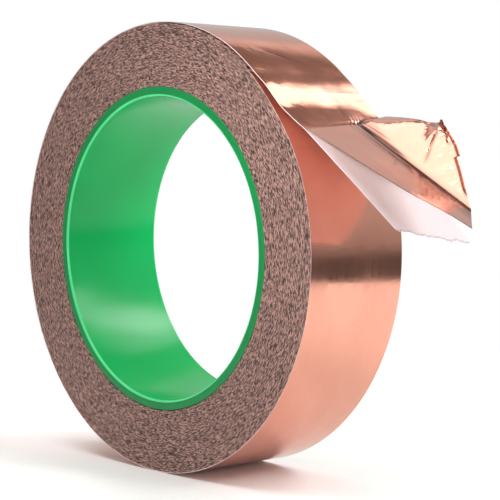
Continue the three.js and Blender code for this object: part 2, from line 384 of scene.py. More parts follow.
def thin_sheet(name, x, y, surface, outer, inner, material, detail=None, painted_shade=None):
    """A closed layer of the tape between two depths below the copper side.

    The detail raises the surface. The painted shade says how dark a place is painted, for the finish to use."""
    grid = surface(x, y)
    if detail is not None:
        grid = grid + normals_of(grid) * detail(x, y)[..., None]
    normal = normals_of(grid)
    points = np.concatenate([(grid - normal * depth).reshape(-1, 3) for depth in (outer, inner)])
    flat = np.stack([x.ravel(), y.ravel()], axis=-1)
    piece = add_mesh(name, points, sheet_faces(*x.shape), np.concatenate([flat, flat]), [material])
    # Painted shade: how dark each point is painted, kept as an attribute for the finish.
    if painted_shade is not None:
        held = np.tile(np.clip(painted_shade(x, y), 0, 1).ravel(), 2).astype(np.float32)
        piece.data.attributes.new("painted_shade", "FLOAT", "POINT").data.foreach_set("value", held)
    return piece


layers = {
    "foil": (0, FOIL - GAP / 2),
    "adhesive": (FOIL + GAP / 2, FOIL + ADHESIVE - GAP / 2),
    "liner": (FOIL + ADHESIVE + GAP / 2, TAPE - GAP / 2),
}
print("layers, in mm below the copper side:", layers)

# %% [markdown]
# ## A short way to write finishes
#
# A finish is a small network of nodes in front of Blender's Principled shader. Writing each link by hand
# hides what the network does, so one helper adds a node, sets its values and joins its inputs in one line.

# %% Finish maker
class Finish:
    """A node material under construction."""

    def __init__(self, name, **settings):
        self.material = bpy.data.materials.new(name)
        self.material.use_nodes = True
        self.tree = self.material.node_tree
        self.shader = self.tree.nodes["Principled BSDF"]
        for socket, value in settings.items():
            self.shader.inputs[socket.replace("_", " ")].default_value = value

    def add(self, kind, inputs=None, **settings):
        """Adds a node. An input is a value, or the output that feeds it."""
        node = self.tree.nodes.new("ShaderNode" + kind)
        for name, value in settings.items():
            setattr(node, name, value)
        for socket, value in (inputs or {}).items():
            self.join(value, node.inputs[socket])
        return node

    def join(self, value, socket):
        """Links an output to a socket, or sets a plain value on it."""
        if isinstance(value, bpy.types.NodeSocket):
            self.tree.links.new(value, socket)
        else:
            socket.default_value = value

    def flat_place(self, along, across):
        """The place on the unrolled tape, stretched so that one unit is a grain of that many mm."""
        place = self.add("UVMap", uv_map="flat").outputs["UV"]
        stretch = (UV_SPAN / along, UV_SPAN / across, 1)
        return self.add("VectorMath", {0: place, 1: stretch}, operation="MULTIPLY").outputs["Vector"]

    def body_place(self, grain):
        """The place in the roll, with one unit to each grain of that many mm."""
        place = self.add("TexCoord").outputs["Object"]
        scale = 1 / (grain * MM)
        return self.add("VectorMath", {0: place, 1: (scale,) * 3}, operation="MULTIPLY").outputs["Vector"]

    def turned_place(self, round_it, outward, through, radius):
        """The place as an angle, a radius and a depth, with one unit to each grain of those mm."""
        place = self.add("TexCoord").outputs["Object"]
        split = self.add("SeparateXYZ", {0: place})
        disc = self.add("VectorMath", {0: place, 1: (1, 0, 1)}, operation="MULTIPLY").outputs["Vector"]
        length = self.add("VectorMath", {0: disc}, operation="LENGTH").outputs["Value"]
        unit = self.add("VectorMath", {0: disc}, operation="NORMALIZE").outputs["Vector"]
        ring = self.add("VectorMath", {0: unit, "Scale": radius / round_it}, operation="SCALE")
        rise = self.add("Math", {0: length, 1: 1 / (outward * MM)}, operation="MULTIPLY").outputs[0]
        deep = self.add("Math", {0: split.outputs["Y"], 1: 1 / (through * MM)}, operation="MULTIPLY")
        total = self.add("Math", {0: rise, 1: deep.outputs[0]}, operation="ADD").outputs[0]
        lift = self.add("CombineXYZ", {"Y": total}).outputs["Vector"]
        inputs = {0: ring.outputs["Vector"], 1: lift}
        return self.add("VectorMath", inputs, operation="ADD").outputs["Vector"]

    def noise(self, place, detail=2.0, roughness=0.5, distortion=0.0):
        """A cloudy value round a half."""
        inputs = {"Vector": place, "Scale": 1, "Detail": detail, "Roughness": roughness,
                  "Distortion": distortion}
        return self.add("TexNoise", inputs).outputs["Fac"]

    def spread(self, value, low, high, from_low=0.35, from_high=0.65):
        """Turns the middle of a noise into a range of values."""
        inputs = {"Value": value, "From Min": from_low, "From Max": from_high, "To Min": low, "To Max": high}
        return self.add("MapRange", inputs).outputs["Result"]

    def patch(self, value, place, reach):
        """Keeps a value round one place on the tape, in mm, and fades it to 0 at the reach."""
        inputs = {0: self.flat_place(1, 1), 1: (*place, 0)}
        arm = self.add("VectorMath", inputs, operation="SUBTRACT").outputs["Vector"]
        share = (1 / reach[0], 1 / reach[1], 0)
        arm = self.add("VectorMath", {0: arm, 1: share}, operation="MULTIPLY").outputs["Vector"]
        away = self.add("VectorMath", {0: arm}, operation="LENGTH").outputs["Value"]
        near = self.spread(away, 1, 0, 0.3, 1)
        return self.add("Math", {0: value, 1: near}, operation="MULTIPLY").outputs[0]

    def colour(self, factor, first, second):
        """A colour between two, by a factor from 0 to 1."""
        mix = self.add("Mix", data_type="RGBA")
        self.join(factor, mix.inputs["Factor"])
        self.join(first, mix.inputs[6])
        self.join(second, mix.inputs[7])
        return mix.outputs[2]

    def bump(self, height, depth, normal=None):
        """Raises the surface by up to depth mm, without moving its points."""
        inputs = {"Height": height, "Distance": depth * MM, "Strength": 1.0}
        if normal is not None:
            inputs["Normal"] = normal
        return self.add("Bump", inputs).outputs["Normal"]

    def shade(self, **links):
        """Joins the last outputs to the shader, and gives the finished material."""
        for socket, value in links.items():
            self.join(value, self.shader.inputs[socket.replace("_", " ")])
        return self.material


# %% [markdown]
# ## Copper
#
# Rolled copper foil is a mirror with a direction. The rollers leave fine marks along the strip, so the
# highlight smears across them, and handling adds soft dents and a faint uneven tarnish. The colour of a
# metal is its reflection, so the base colour is the pink of clean copper, and the rest is roughness and
# bump. Two noises are stretched along the tape, a fine one for the rolling marks and a broad one for the
# places where the polish is duller. One patch near the take-off line has been rubbed by fingers and is full
# of small scuffs. Where a crease, a fold or an edge lies in shade, the shade is painted in: the colour goes
# to a deep brown.

# %% Copper finish
COPPER = (0.83, 0.40, 0.29, 1)
COPPER_DULL = (0.74, 0.335, 0.235, 1)
# A deep brown painted shade, for the creases, folds and edges that lie in shade.
COPPER_PAINTED_SHADE = (0.13, 0.045, 0.03, 1)
CLEAR_ROUGHNESS = 0.10
DULL_ROUGHNESS = 0.17
DENT_HEIGHT = 0.010
MARK_HEIGHT = 0.0022
SCUFF_HEIGHT = 0.018
RUBBED_PLACE = (-15.0, -12.5)
RUBBED_REACH = (12.0, 6.5)


def copper_finish():
    """Copper foil. The two roughness values are for its clear and its dull places."""
    finish = Finish("copper", Metallic=1.0)
    marks = finish.noise(finish.flat_place(26, 0.35), detail=3.0)
    patches = finish.noise(finish.flat_place(19, 11), detail=3.0, roughness=0.6)
    ripples = finish.noise(finish.flat_place(1.6, 4.5), detail=2.0)
    polish = finish.spread(patches, CLEAR_ROUGHNESS, DULL_ROUGHNESS)
    streaks = finish.spread(marks, -0.02, 0.03)
    rough = finish.add("Math", {0: polish, 1: streaks}, operation="ADD").outputs[0]
    waves = finish.bump(ripples, DENT_HEIGHT)
    scuffs = finish.noise(finish.flat_place(2.6, 0.5), detail=3.0, distortion=1.2)
    rubbed = finish.patch(scuffs, RUBBED_PLACE, RUBBED_REACH)
    rolled = finish.bump(marks, MARK_HEIGHT, finish.bump(rubbed, SCUFF_HEIGHT, waves))
    tint = finish.colour(finish.spread(patches, 0.0, 0.55), COPPER, COPPER_DULL)
    # Painted shade: the copper is painted deep brown where this attribute is high.
    painted_shade = finish.add("Attribute", attribute_name="painted_shade").outputs["Fac"]
    tint = finish.colour(painted_shade, tint, COPPER_PAINTED_SHADE)
    return finish.shade(Base_Color=tint, Roughness=rough, Normal=rolled)


copper = copper_finish()
print("finish:", copper.name)

# %% [markdown]
# ## Adhesive, liner and core plastic
#
# The adhesive is a thin clear acrylic coat. On the foil it looks like satin, slightly yellow copper, so it
# is a half-metal with a soft sheen and a fine orange-peel surface. The liner is paper with a silicone coat:
# pale and faintly pink, with a fibre cloud in its colour and a very fine tooth. Towards its loose end it is
# painted a shade darker, painted shade against the strong key light there, and its torn edge has painted
# shade.
#
# The core is an extruded green plastic that lets a little light in, so some of the light scatters under its
# surface. It has three finishes of one plastic: the bore, where the extruder has left faint lines, the sawn
# face, which is rougher and painted a darker green as painted shade, and the broken inner edge, which is
# smoother and painted a paler green as a painted highlight.

# %% Adhesive finish
ADHESIVE_PALE = (0.74, 0.50, 0.36, 1)
ADHESIVE_CLOUD = (0.66, 0.42, 0.29, 1)


def adhesive_finish():
    """Clear acrylic on copper, with a surface like orange peel."""
    finish = Finish("adhesive", Metallic=0.35, IOR=1.47)
    peel = finish.noise(finish.flat_place(1.1, 0.9), detail=3.0)
    cloud = finish.noise(finish.flat_place(14, 9), detail=3.0)
    tint = finish.colour(finish.spread(cloud, 0, 1), ADHESIVE_PALE, ADHESIVE_CLOUD)
    rough = finish.spread(peel, 0.34, 0.5)
    return finish.shade(Base_Color=tint, Roughness=rough, Normal=finish.bump(peel, 0.012))


# %% Liner finish
LINER_PALE = (0.89, 0.79, 0.83, 1)
LINER_CLOUD = (0.85, 0.74, 0.78, 1)
# Painted shade: the liner is painted this darker tone towards its loose end, where the key lamp is
# strongest.
LINER_END_SHADE = (0.66, 0.575, 0.60, 1)
# Painted shade for the torn edge of the liner.
LINER_TORN_EDGE_SHADE = (0.30, 0.245, 0.25, 1)
END_SHADE_FROM, END_SHADE_TO = 28, 50


def liner_finish():
    """Silicone-coated paper, painted darker towards its loose end and along its torn edge: painted shade."""
    finish = Finish("liner", IOR=1.45, Subsurface_Weight=0.12)
    finish.shader.inputs["Subsurface Radius"].default_value = (0.0006, 0.0004, 0.0004)
    finish.shader.inputs["Subsurface Scale"].default_value = 1.0
    fibres = finish.noise(finish.flat_place(0.9, 0.45), detail=4.0, roughness=0.65)
    cloud = finish.noise(finish.flat_place(7, 5), detail=3.0)
    tint = finish.colour(finish.spread(cloud, 0, 1), LINER_PALE, LINER_CLOUD)
    along = finish.add("SeparateXYZ", {0: finish.flat_place(1, 1)}).outputs["X"]
    # Painted shade, darker towards the loose end.
    end_shade = finish.spread(along, 0, 1, END_SHADE_FROM, END_SHADE_TO)
    tint = finish.colour(end_shade, tint, LINER_END_SHADE)
    # Painted shade: the liner's torn edge is painted dark where this attribute is high.
    painted_shade = finish.add("Attribute", attribute_name="painted_shade").outputs["Fac"]
    tint = finish.colour(painted_shade, tint, LINER_TORN_EDGE_SHADE)
    rough = finish.spread(fibres, 0.42, 0.6)
    return finish.shade(Base_Color=tint, Roughness=rough, Normal=finish.bump(fibres, 0.008))


# %% Core plastic finishes
BORE_LINE_HEIGHT = 0.002
CUT_LINE_HEIGHT = 0.0005


def core_finish(name, deep, light, rough_low, rough_high, drawn):
    """The green plastic. The drawn lines run along the bore, and their height is in mm."""
    finish = Finish(name, IOR=1.46, Specular_IOR_Level=0.36, Subsurface_Weight=0.2)
    finish.shader.inputs["Subsurface Radius"].default_value = (0.0006, 0.0022, 0.001)
    finish.shader.inputs["Subsurface Scale"].default_value = 1.0
    lines = finish.noise(finish.turned_place(0.8, 4.0, 60.0, BORE_RADIUS), detail=2.0)
    cloud = finish.noise(finish.body_place(22), detail=1.0)
    tint = finish.colour(finish.spread(cloud, 0, 1), deep, light)
    rough = finish.spread(lines, rough_low, rough_high)
    return finish.shade(Base_Color=tint, Roughness=rough, Normal=finish.bump(lines, drawn))


adhesive = adhesive_finish()
liner = liner_finish()
core_bore = core_finish("core_bore", (0.003, 0.34, 0.084, 1), (0.004, 0.37, 0.093, 1),
                        0.20, 0.24, BORE_LINE_HEIGHT)
# The sawn face is the same plastic painted darker: painted shade.
core_cut_shaded = core_finish("core_cut_face_painted_shade", (0.003, 0.19, 0.047, 1), (0.004, 0.22, 0.055, 1),
                       0.38, 0.42, CUT_LINE_HEIGHT)
# The broken edge is the same plastic painted paler: a painted highlight.
core_break_highlit = core_finish("core_broken_edge_painted_highlight", (0.07, 0.58, 0.22, 1), (0.10, 0.64, 0.27, 1),
                         0.14, 0.18, CUT_LINE_HEIGHT)
print("finishes:", adhesive.name, liner.name, core_bore.name, core_cut_shaded.name, core_break_highlit.name)

# %% [markdown]
# ## The side of the winding
#
# From the side, each turn of the tape shows as three hair-thin lines: the cut edge of the copper, the
# adhesive, and the paper. No two turns line up exactly, so the side is a field of short concentric dashes,
# light where an edge stands proud and catches the light, and dark where it lies back. The finish paints the
# same dashes into the colour with a noise in polar coordinates, long round the roll and short from turn to
# turn: painted highlights on the dashes and painted shade between them. A little even grit is added to it,
# for the dust of the cut.

# %% Finishes of the three cut edges
DASH_ROUND, DASH_OUTWARD, DASH_THROUGH = 1.3, 0.19, 4.0
GRIT_GRAIN = 0.35
GRIT_SHARE = 0.3
DASH_HEIGHT = 0.2


def edge_finish(name, dark, light, metallic):
    """One of the three cut edges, from its dark colour, painted shade between the dashes, to its light
    colour, a painted highlight on them.
    """
    finish = Finish(name, Metallic=metallic, Roughness=0.55)
    place = finish.turned_place(DASH_ROUND, DASH_OUTWARD, DASH_THROUGH, ROLL_RADIUS)
    dashes = finish.noise(place, detail=1.5, roughness=0.5)
    grit = finish.noise(finish.body_place(GRIT_GRAIN), detail=2.0)
    some_grit = finish.add("Math", {0: grit, 1: GRIT_SHARE}, operation="MULTIPLY").outputs[0]
    both = finish.add("Math", {0: dashes, 1: some_grit}, operation="ADD").outputs[0]
    # Painted highlight and shade: the dashes and the grit take the colour from dark to light.
    factor = finish.spread(both, 0.0, 1.0, 0.58, 0.77)
    tint = finish.colour(factor, dark, light)
    return finish.shade(Base_Color=tint, Normal=finish.bump(dashes, DASH_HEIGHT))


# The dark colours are painted shade between the dashes, the light ones painted highlights on them.
foil_edge = edge_finish("foil_edge", (0.07, 0.030, 0.023, 1), (0.66, 0.35, 0.275, 1), 0.6)
glue_edge = edge_finish("glue_edge", (0.03, 0.016, 0.012, 1), (0.38, 0.22, 0.185, 1), 0.0)
paper_edge = edge_finish("paper_edge", (0.04, 0.021, 0.016, 1), (0.47, 0.285, 0.245, 1), 0.0)
print("finishes:", foil_edge.name, glue_edge.name, paper_edge.name)

# %% [markdown]
# ## The core
#
# The core is an extruded plastic tube, cut to the width of the tape, with its inner edges broken so that
# they don't cut a finger. It could be a cylinder with a hole, but the broken edge carries a thin bright line
# all the way round, so the ring is made by turning a cross-section with real rounded corners. Each band of
# the section takes one of the three finishes, and the bright line is partly a painted highlight.

# %% Turn the core
CORE_STEPS = 240
INNER_BREAK = 0.5
OUTER_BREAK = 0.12
CORNER_STEPS = 5


def rounded_corner(radius, y, to_radius, to_y, size):
    """Points of a quarter round at a corner of the section, from one direction to the next."""
    for i in range(CORNER_STEPS + 1):
        turn = math.pi / 2 * i / CORNER_STEPS
        first, second = 1 - math.sin(turn), 1 - math.cos(turn)
        yield (radius + size * (to_radius[0] * first + to_radius[1] * second),
               y + size * (to_y[0] * first + to_y[1] * second))


def core_section():
    """The ring's outline, from the near outer corner round through the bore."""
    edge = HALF_WIDTH
    outline = []
    outline += rounded_corner(CORE_RADIUS, edge, (0, -1), (-1, 0), OUTER_BREAK)
    outline += rounded_corner(BORE_RADIUS, edge, (1, 0), (0, -1), INNER_BREAK)
    outline += rounded_corner(BORE_RADIUS, -edge, (0, 1), (1, 0), INNER_BREAK)
    outline += rounded_corner(CORE_RADIUS, -edge, (-1, 0), (0, 1), OUTER_BREAK)
    return np.array(outline)


def turn_ring(name, outline, steps, materials, band_materials):
    """Turns a closed outline of (radius, y) round the roll's axis. Each of its bands has a material."""
    angle = np.arange(steps) * TURN / steps
    radius, y = outline[:, 0], outline[:, 1]
    points = np.stack([np.outer(np.cos(angle), radius), np.tile(y, (steps, 1)),
                       np.outer(np.sin(angle), radius)], axis=-1)
    flat = np.stack([np.outer(angle, radius), np.tile(y, (steps, 1))], axis=-1)
    index = np.arange(steps * len(outline)).reshape(steps, len(outline))
    ahead, beside = np.roll(index, -1, axis=0), np.roll(index, -1, axis=1)
    diagonal = np.roll(ahead, -1, axis=1)
    faces = np.stack([index, beside, diagonal, ahead], axis=-1).reshape(-1, 4)
    bands = np.tile(band_materials, steps)
    return add_mesh(name, points.reshape(-1, 3), faces.tolist(), flat.reshape(-1, 2), materials, bands)


section = core_section()
band_radius = np.maximum(section[:, 0], np.roll(section[:, 0], -1))
in_bore = band_radius < BORE_RADIUS + GAP
# The rounded inner edge takes the paler finish, a painted highlight.
in_highlit_break = ~in_bore & (band_radius < BORE_RADIUS + INNER_BREAK + GAP)
band_materials = np.select([in_bore, in_highlit_break], [0, 2], 1)
core = turn_ring("core_ring", section, CORE_STEPS, [core_bore, core_cut_shaded, core_break_highlit], band_materials)
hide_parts("core")
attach(core, "roll")

# %% [markdown]
# ## The wound turns
#
# The winding could be a plain ring with a striped finish. Here it is what it is: one strip, wound about
# ninety-six times, with its three layers as three bands on each side. The strip's height wanders a little
# from turn to turn, as a winding machine leaves it, and the innermost turns step over the tab that holds
# the first turn to the core.

# %% Wind the tape
FACETS = 120
TAB_ANGLE = math.radians(198)
TAB_HALF_SPAN = math.radians(17)
TAB_STEP = 0.15
TAB_TURNS = 22
EDGE_WANDER = 0.055
DASH_LENGTH = 4.0
DASH_TURNS = 2.2

inner_limit = CORE_RADIUS + 0.03
last_turn_in = (ROLL_RADIUS - TAPE - inner_limit) / TAPE
stations = np.arange(1, last_turn_in, 1 / FACETS)
angle = TAKE_OFF + TURN * stations
outside = ROLL_RADIUS - TAPE * stations
outside = outside - flat_spot(angle, outside)
from_core = last_turn_in - stations
off_tab = (angle - TAB_ANGLE + math.pi) % TURN - math.pi
outside = outside + TAB_STEP * np.clip(1 - from_core / TAB_TURNS, 0, 1) * (
    1 - smooth(np.abs(off_tab), TAB_HALF_SPAN * 0.7, TAB_HALF_SPAN)
)


def wander(seed):
    """How far a cut edge stands proud at each station, the same in each run."""
    round_it = ROLL_RADIUS / DASH_LENGTH
    return EDGE_WANDER * np.array([
        noise.noise(Vector((math.cos(a) * round_it, math.sin(a) * round_it + seed, t / DASH_TURNS)))
        for a, t in zip(angle, stations)
    ])


depths = np.array([0, FOIL, FOIL + ADHESIVE, TAPE - GAP])
radius = outside[:, None] - depths
proud = {-1: wander(0.0), 1: wander(40.0)}
rings = []
for side in (-1, 1):
    y = side * (HALF_WIDTH + proud[side] - EDGE_WANDER)
    rings.append(np.stack([radius * np.cos(angle)[:, None], np.repeat(y[:, None], 4, axis=1),
                           radius * np.sin(angle)[:, None]], axis=-1))
ribbon = np.concatenate([rings[0], rings[1][:, ::-1]], axis=1)
count = ribbon.shape[1]
index = np.arange(len(stations) * count).reshape(-1, count)
beside = np.roll(index, -1, axis=1)
faces = np.stack([index[:-1], index[1:], beside[1:], beside[:-1]], axis=-1).reshape(-1, 4).tolist()
bands = np.tile([0, 1, 2, 2, 2, 1, 0, 0], len(stations) - 1).tolist()
for station, turned in ((0, False), (-1, True)):
    a, b, c, d, e, f, g, h = index[station].tolist()
    for ends, band in (((a, b, g, h), 0), ((b, c, f, g), 1), ((c, d, e, f), 2)):
        faces.append(ends[::-1] if turned else ends)
        bands.append(band)
flat = np.stack([np.repeat(-stations * TURN * ROLL_RADIUS, count), ribbon[..., 1].ravel()], axis=-1)
wound = add_mesh("wound_tape", ribbon.reshape(-1, 3), faces, flat, [foil_edge, glue_edge, paper_edge], bands)
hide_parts("wound_turns")
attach(wound, "roll")
wound_length = TURN * float(np.mean(outside)) * len(stations) / FACETS * MM
print(f"{last_turn_in:.0f} turns, {wound_length:.1f} m of tape")

# %% [markdown]
# ## The last turn and the lifted tape
#
# The last turn is what everybody sees, so its three layers are sheets of their own. Each comes in two parts.
# One wraps all the way round the roll and turns with it. The other runs over the take-off line and half-way
# along the lifted tape. One sheet could not do both, because a bend between two bodies is measured along a
# straight line, and the wrap passes that line on its way round.
# A thumb has left one long shallow dent in the copper just before the take-off line. The near edge has a
# hair of liner showing beside it, which draws a thin pale line along the copper.

# %% Lay the last turn
TURN_LENGTH = TURN * ROLL_RADIUS
SEAM = 9.0
WRAP_END = -12.0
FINE_FROM = -26.0
FINE_STEP = 0.4
COARSE_ROWS, FINE_ROWS, LEAVING_ROWS = 220, 44, 68
TAPE_COLUMNS = 64
DENT_FROM = (-8.2, -4.8)
DENT_TO = (-2.0, 6.0)
DENT_WIDTHS = (0.4, 2.2)
DENT_DEPTH = 0.045
LINER_MARGIN = 0.07
EDGE_ROLL = 0.13
WAVE_HEIGHT = 0.055
CRINKLE_HEIGHT = 0.016


def near_line(x, y, start, end):
    """The distance of each place from a line between two places, its share along it, and its side."""
    line = np.array(end) - np.array(start)
    right, up = x - start[0], y - start[1]
    share = np.clip((right * line[0] + up * line[1]) / (line @ line), 0, 1)
    on_side = right * line[1] - up * line[0] < 0
    return np.hypot(right - share * line[0], up - share * line[1]), share, on_side


def thumb_dent(x, y):
    """The dent, with one steep and one gentle side, deepest where it starts."""
    away, share, gentle = near_line(x, y, DENT_FROM, DENT_TO)
    width = np.where(gentle, DENT_WIDTHS[1], DENT_WIDTHS[0]) * (1 + share)
    return -DENT_DEPTH * (1 - 0.7 * share) * np.exp(-((away / width) ** 2))


def waves(x, y, grain, seed):
    """A smooth random height between -1 and 1, with hills as wide as the grain."""
    flat = np.stack([x.ravel(), y.ravel()], axis=-1) / grain
    return np.array([noise.noise(Vector((a, b, seed))) for a, b in flat]).reshape(x.shape)


def handled_lift(x, y):
    """Soft waves where the tape is lifted, and small crinkles along its near edge."""
    before_peel = 1 - smooth(x - peel_line(y), -3, 0)
    lifted = smooth(x, -12, -3) * before_peel
    at_edge = smooth(-y, 3, 12) * smooth(x, -26, -14) * before_peel
    soft = WAVE_HEIGHT * waves(x, y, 6.5, 11.0) * lifted
    crinkled = CRINKLE_HEIGHT * waves(x, y, 1.3, 15.0) * at_edge
    return soft + crinkled - EDGE_ROLL * smooth(-y, 11.2, 15) * lifted


def last_turn_detail(x, y):
    """Everything that handling has done to the last turn."""
    return thumb_dent(x, y) + handled_lift(x, y)


def last_turn_painted_shade(x, y):
    """The painted shade in the thumb's crease."""
    away, share, _ = near_line(x, y, DENT_FROM, DENT_TO)
    return 0.75 * (1 - share) * np.exp(-((away / 0.7) ** 2))


def flat_grid(along, columns, margin=0.0):
    """A grid of flat places, for given places along the tape and a number of columns across it."""
    x, share = np.meshgrid(along, np.linspace(0, 1, columns), indexing="ij")
    near = HALF_WIDTH + np.broadcast_to(margin, along.shape)[:, None]
    return x, -near + share * (HALF_WIDTH + near)


def liner_margin(along):
    """How far the liner stands out past the copper at the near edge. Wound tight, it sinks in."""
    return LINER_MARGIN * (1.6 * smooth(along, -90, -30) - 0.6)


def tape_part(name, layer, along):
    """One layer of the tape between two places along it, as a closed sheet."""
    margin = liner_margin(along) if layer == "liner" else 0.0
    x, y = flat_grid(along, TAPE_COLUMNS, margin)
    material = {"foil": copper, "adhesive": adhesive, "liner": liner}[layer]
    # Only the copper layer is painted with shade, in the thumb's crease.
    painted_shade = last_turn_painted_shade if layer == "foil" else None
    piece = thin_sheet(name, x, y, tape_surface, *layers[layer], material, last_turn_detail, painted_shade)
    return piece


coarse = np.linspace(-TURN_LENGTH, FINE_FROM, COARSE_ROWS)
fine = np.linspace(FINE_FROM + FINE_STEP, WRAP_END, FINE_ROWS)
wrapped = np.concatenate([coarse, fine])
leaving = np.linspace(WRAP_END, SEAM, LEAVING_ROWS)
for layer in layers:
    wrap = tape_part("last_turn_wrap_" + layer, layer, wrapped)
    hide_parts("last_turn_" + layer)
    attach(wrap, "roll")
    lift = tape_part("take_off_" + layer, layer, leaving)
    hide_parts("lifted_" + layer)
    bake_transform(lift)

# %% [markdown]
# ## The peeled foil
#
# The loose end has been handled. Its far panel is creased, its corner is crumpled, and its cut end is turned
# over. Thin metal doesn't wrinkle like cloth: it stays flat between sharp lines. So each crease is a narrow
# valley along a line, and the crumple is a noise of the kind that has ridges. Fine lines run beside the
# start of the fold, where the pull gathered the foil.
#
# Polished metal shows a crease mostly by what it reflects, and a crease narrower than a hair is finer than
# the mesh. So the same functions that shape the creases also say where their shade lies, and the copper
# finish paints that shade in.

# %% Peel the foil
FOIL_ROWS = 190
FOIL_COLUMNS = 120
# Each pull line has its place beside the fold, its strength from 0 to 1, and its reach along the fold.
PULL_LINES = (
    (-3.4, 0.3, 22),
    (-2.1, 0.5, 26),
    (-0.7, 0.8, 24),
    (0.3, 1.0, 24),
    (1.3, 0.9, 15),
    (2.2, 0.5, 11),
)
PULL_WIDTH = 0.36
PULL_DEPTH = 0.07
# Each crease has its two ends on the flat tape, its width, and its depth.
CREASES = (
    ((40.6, 12.4), (43.1, 7.2), 0.4, 0.14),
    ((43.0, 7.6), (45.9, 2.4), 0.45, 0.11),
    ((40.2, -1.0), (43.4, -5.2), 0.3, 0.04),
    ((33.0, 14.6), (38.7, 13.2), 0.4, 0.12),
    ((38.9, 14.2), (43.2, 12.0), 0.35, 0.14),
    ((42.4, 12.4), (47.4, 9.2), 0.3, 0.12),
)
# The grain and the seed of the crumpled corner, the same for its shape and its painted shade.
CRUMPLE = (2.4, 5.0)
HEM_WIDTH = 1.2
HEM_RISE = 0.45


def ridges(x, y, grain, seed):
    """Sharp ridges between smooth hollows, up to 1."""
    return 1 - 2 * np.abs(waves(x, y, grain, seed))


def crease(x, y, start, end, width):
    """1 on a line between two places, falling to 0 beside it and at its ends."""
    away, share, _ = near_line(x, y, start, end)
    return np.exp(-((away / width) ** 2)) * np.sin(math.pi * np.clip(share, 0.06, 0.94)) ** 0.5


def pull_lines(x, y):
    """The fine creases beside the start of the fold, as a strength of 1 and less."""
    along, across = fold_place(x, y)
    lines = 0
    for beside, strength, reach in PULL_LINES:
        fade = smooth(along, -5, -1) * (1 - smooth(along, reach - 8, reach))
        lines = lines + strength * np.exp(-(((across - beside) / PULL_WIDTH) ** 2)) * fade
    return lines


def handled(x, y):
    """Creases and crumples of the peeled foil, in mm along its surface normal."""
    past = x - peel_line(y)
    along, across = fold_place(x, y)
    to_end = foil_length(y) - past
    far_panel = smooth(across, 0.5, 4) * smooth(past, 2, 10)
    corner = far_panel * smooth(y, 8, 13) * smooth(-to_end, -8, -1)
    height = 0.10 * (ridges(x, y, 6.0, 3.0) - 0.6) * far_panel * smooth(-to_end, -16, -4)
    height = height + 0.035 * (ridges(x, y, 1.9, 8.0) - 0.6) * far_panel
    height = height + 0.55 * (ridges(x, y, *CRUMPLE) - 0.6) * corner
    for start, end, width, depth in CREASES:
        height = height - depth * crease(x, y, start, end, width)
    height = height - PULL_DEPTH * pull_lines(x, y)
    turned_in = HEM_RISE * np.clip(1 - to_end / HEM_WIDTH, 0, 1) * far_panel
    return height + turned_in + handled_lift(x, y)


def peeled_painted_shade(x, y):
    """The painted shade of the creases, the fold, the peel line, the edges, the turned-over end and the
    crumple of the peeled foil.
    """
    past = x - peel_line(y)
    along, across = fold_place(x, y)
    to_end = foil_length(y) - past
    shade_amount = 0.9 * pull_lines(x, y)
    for start, end, width, depth in CREASES:
        shade_amount = shade_amount + min(1.0, 6 * depth) * crease(x, y, start, end, width)
    # Painted shade along the fold and beside it, at the peel line, along the edges, in the hem and the
    # crumple.
    fold_line = np.exp(-((across + 0.2 + 0.02 * along) ** 2)) * smooth(along, -2, 4)
    beside_fold = np.exp(-(((across + 2.1 + 0.02 * along) / 1.1) ** 2)) * smooth(along, 2, 12)
    shade_amount = shade_amount + 0.75 * fold_line + 0.38 * beside_fold
    at_peel_line = 0.5 * np.exp(-((past / 0.35) ** 2))
    far_edge = 0.7 * smooth(y, 14.4, 14.9) * smooth(past, 0, 2)
    near_edge = smooth(-y, 14.45, 14.85) * smooth(past, 2, 12)
    shade_amount = shade_amount + at_peel_line + far_edge + near_edge
    hem = smooth(across, 1, 3) * np.exp(-(((to_end - HEM_WIDTH / 2) / (HEM_WIDTH / 2)) ** 2))
    corner = smooth(y, 8, 12) * smooth(across, 2, 5) * smooth(-to_end, -6, -1)
    crumple = smooth(ridges(x, y, *CRUMPLE), 0.72, 0.95)
    return shade_amount + 0.95 * hem + 0.7 * corner * crumple


def tail_grid(rows, columns, start, length, margin=0.0):
    """A grid of flat places from the seam to a cut end."""
    u, v = np.meshgrid(np.linspace(0, 1, rows), np.linspace(0, 1, columns), indexing="ij")
    y = -HALF_WIDTH - margin + v * (2 * HALF_WIDTH + margin)
    return start + (peel_line(y) + length(y) - start) * u, y


x, y = tail_grid(FOIL_ROWS, FOIL_COLUMNS, SEAM, foil_length)
# The peeled foil gets painted shade in its creases, fold and edges.
peeled_foil = thin_sheet("peeled_foil_end", x, y, peeled_surface, *layers["foil"], copper, handled,
                         peeled_painted_shade)
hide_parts("peeled_foil")
peeled_adhesive = thin_sheet("peeled_adhesive_end", x, y, peeled_surface, *layers["adhesive"], adhesive,
                             handled)
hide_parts("peeled_adhesive")
peel_across = np.cross(peel_axis, OUTWARD)
peel_across = peel_across / np.linalg.norm(peel_across) * math.copysign(1, float(peel_across @ ALONG))
for layer in (peeled_foil, peeled_adhesive):
    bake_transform(layer)

# %% [markdown]
# ## The peeled liner
#
# The liner was torn by hand, so its end is ragged on two scales: slow waves where the tear wandered, and
# short fibres. A cut with scissors would be straight and would look wrong here.

# %% Peel the liner
TEAR = 0.55
TORN_SKEW = 1.6
LINER_ROWS = 160
LINER_COLUMNS = 140


def tear_noise(y, grain, seed):
    """A smooth random value between -1 and 1 for each place across the tape."""
    values = [noise.noise(Vector((place / grain, seed, 0))) for place in np.ravel(y)]
    return np.array(values).reshape(np.shape(y))


